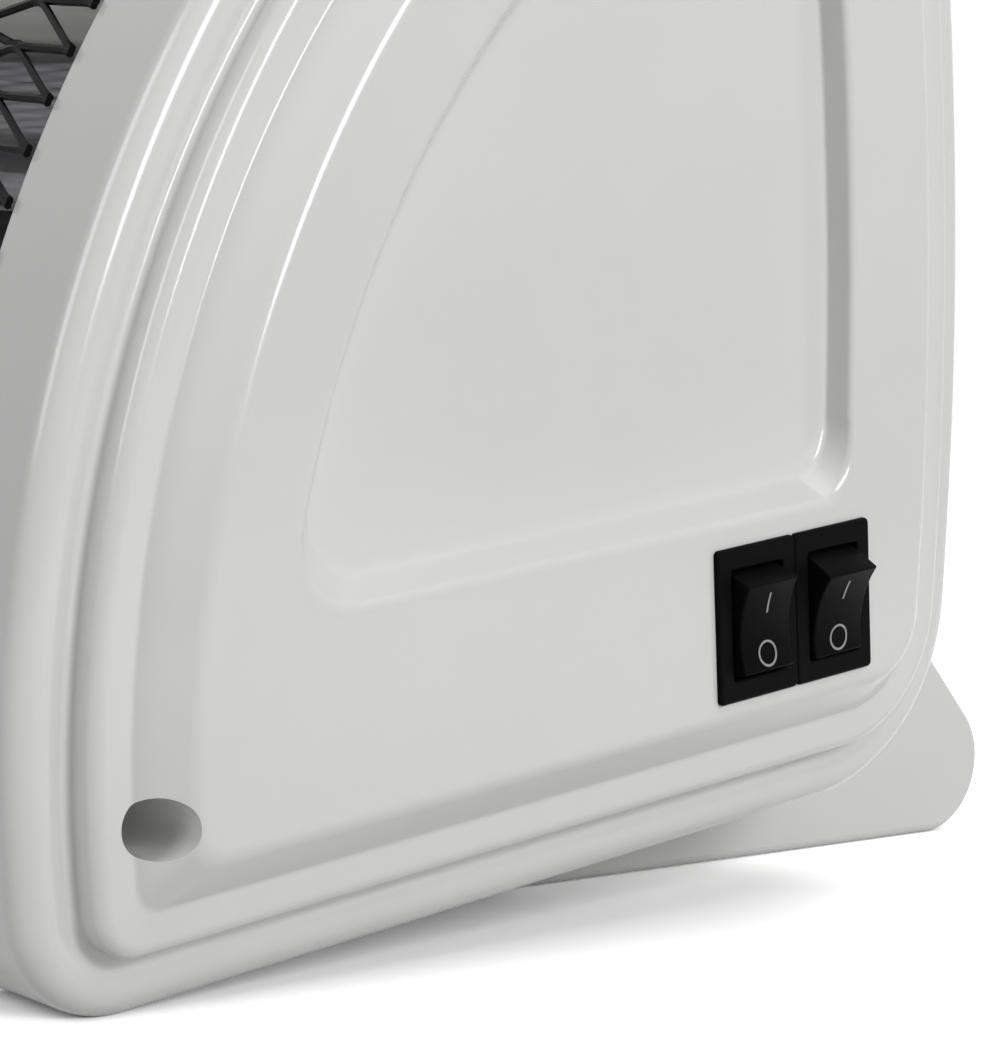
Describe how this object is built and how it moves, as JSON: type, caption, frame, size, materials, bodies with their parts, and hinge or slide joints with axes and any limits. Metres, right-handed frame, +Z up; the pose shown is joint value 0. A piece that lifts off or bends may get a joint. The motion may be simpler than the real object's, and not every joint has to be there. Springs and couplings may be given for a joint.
{
  "type": "quartz heater",
  "caption": "Low quarter-round quartz heater: stepped moulded cheeks, curved mesh guard, tubes before a trough reflector, rocker switches, rear feet and carry handle.",
  "frame": {"origin": "middle of the underside of the box round the whole heater, on the floor", "axes": "+X towards the cheek with the switches, -Y the way the guard faces, +Z up from the floor"},
  "size_m": [0.3448, 0.2132, 0.2313],
  "materials": {
    "white_plastic": "semi-gloss moulded",
    "white_enamel": "smooth baked enamel",
    "zinc_steel": "zinc plated sheet",
    "black_coated_steel": "gloss black powder coat",
    "bright_aluminium": "bright rolled",
    "quartz": "milky fused quartz",
    "resistance_wire": "drawn wire",
    "ceramic": "unglazed steatite",
    "brass": "tinned strip",
    "black_plastic": "fine moulded",
    "black_rocker": "satin moulded",
    "natural_plastic": "moulded",
    "black_rubber": "moulded"
  },
  "bodies": {
    "body": {"right_cheek": "white_plastic", "left_cheek": "white_plastic", "right_end_plate": "zinc_steel", "left_end_plate": "zinc_steel", "base_pan": "white_enamel", "back_cover": "white_enamel", "front_guard": "black_coated_steel", "reflector": "bright_aluminium", "lower_quartz_tube": "quartz", "upper_quartz_tube": "quartz", "lower_heating_coil": "resistance_wire", "upper_heating_coil": "resistance_wire", "tube_end_caps": "ceramic", "tube_studs": "brass", "front_switch_frame": "black_plastic", "rear_switch_frame": "black_plastic", "switch_blades": "brass", "terminal_block": "natural_plastic", "cord_bushing": "black_rubber", "right_foot": "white_plastic", "left_foot": "white_plastic", "carry_handle": "white_plastic", "tip_switch_housing": "natural_plastic", "tip_switch_spring": "resistance_wire", "cheek_screws": "zinc_steel", "cover_screws": "zinc_steel"},
    "front_rocker": {"front_rocker": "black_rocker"},
    "rear_rocker": {"rear_rocker": "black_rocker"},
    "tip_plunger": {"tip_switch_plunger": "black_plastic"}
  },
  "joints": [
    {"name": "front_rocker_turn", "type": "hinge", "parent": "body", "child": "front_rocker", "pos_m": [0.1659, 0.00637, 0.04454], "axis": [0, 0.9914, 0.1305], "range_deg": [-20, 10]},
    {"name": "rear_rocker_turn", "type": "hinge", "parent": "body", "child": "rear_rocker", "pos_m": [0.1659, 0.02124, 0.0465], "axis": [0, 0.9914, 0.1305], "range_deg": [-30, 0]},
    {"name": "tip_plunger_slide", "type": "slide", "parent": "body", "child": "tip_plunger", "axis": [0, 0, -1], "range_m": [0, 0.006], "stiffness_N_per_m": 60, "springref_m": 0.012, "deforming": ["tip_switch_spring"]}
  ]
}
